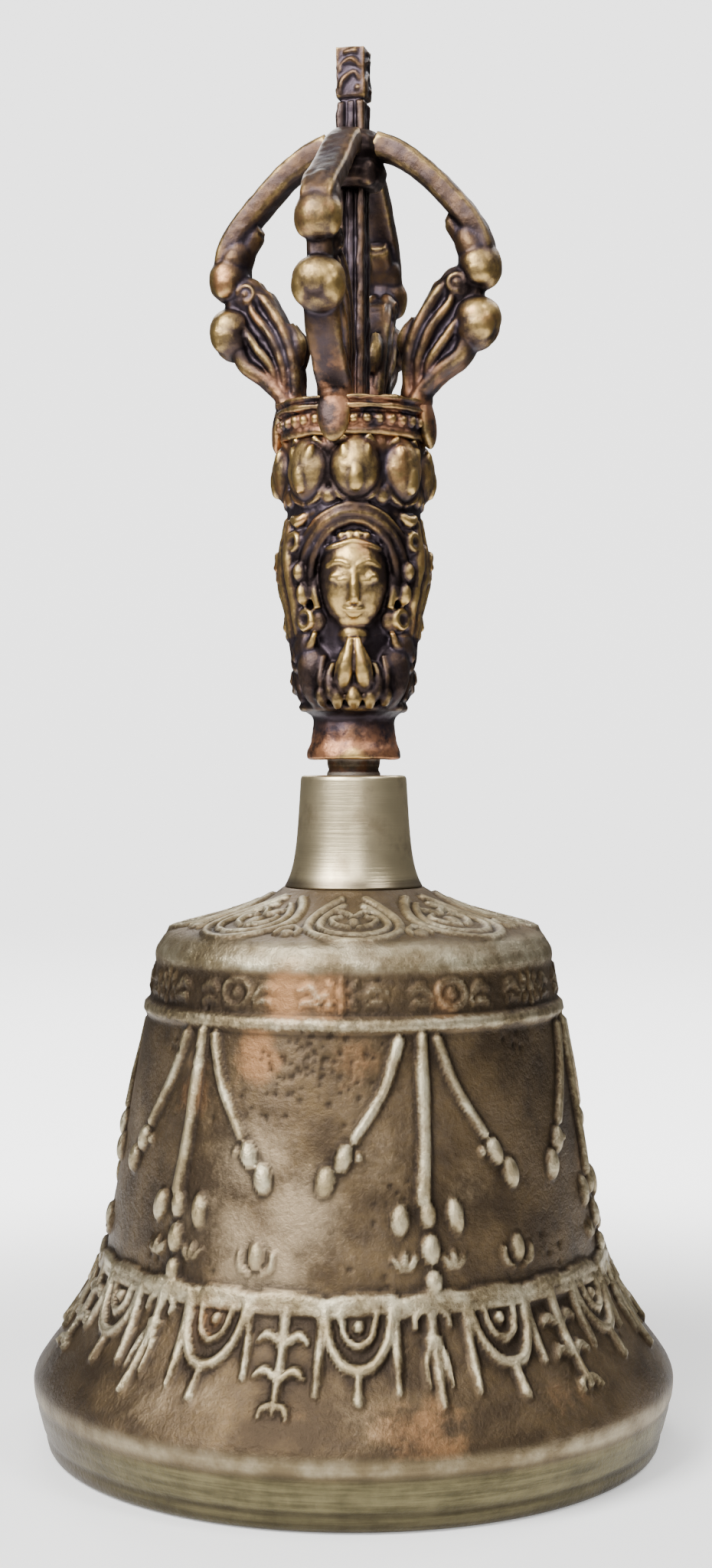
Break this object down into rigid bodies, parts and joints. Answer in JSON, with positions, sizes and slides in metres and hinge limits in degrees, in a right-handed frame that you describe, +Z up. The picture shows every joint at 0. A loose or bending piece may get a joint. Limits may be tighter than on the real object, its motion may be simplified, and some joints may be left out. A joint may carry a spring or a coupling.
{
  "type": "tibetan hand bell",
  "caption": "Flared bronze hand bell with a turned neck, a cast figure grip, an open crown of curved prongs round a square shaft and a clapper on a wire link.",
  "frame": {"origin": "centre of the mouth, on the flat rim the bell stands on", "axes": "+Z up along the bell's axis, -Y out of the face on the grip, +X to the right of someone looking at that face"},
  "size_m": [0.09, 0.09, 0.196],
  "materials": {
    "cup_bronze": "aged cast bronze, dark ground with worn pale relief",
    "neck_brass": "turned, satin",
    "handle_bronze": "dark antiqued cast bronze, golden where hands rub it",
    "iron": "dark forged iron",
    "link_brass": "tarnished wire"
  },
  "bodies": {
    "bell": {"bell_cup": "cup_bronze", "neck_collar": "neck_brass", "spindle": "iron", "crown_washer": "iron", "crown_nut": "iron", "grip": "handle_bronze", "crown_seat": "handle_bronze", "vajra_shaft": "handle_bronze", "prong_hub": "handle_bronze", "prong_front": "handle_bronze", "prong_right": "handle_bronze", "prong_back": "handle_bronze", "prong_left": "handle_bronze"},
    "link": {"hanger_link": "link_brass"},
    "clapper": {"clapper_rod": "iron", "clapper_bob": "iron"}
  },
  "joints": [
    {"name": "hanger_swing", "type": "hinge", "parent": "bell", "child": "link", "pos_m": [0, 0, 0.06], "axis": [0, 1, 0], "range_deg": [-21, 21]},
    {"name": "clapper_swing", "type": "hinge", "parent": "link", "child": "clapper", "pos_m": [0, 0, 0.0495], "axis": [1, 0, 0], "range_deg": [-34, 34]}
  ]
}
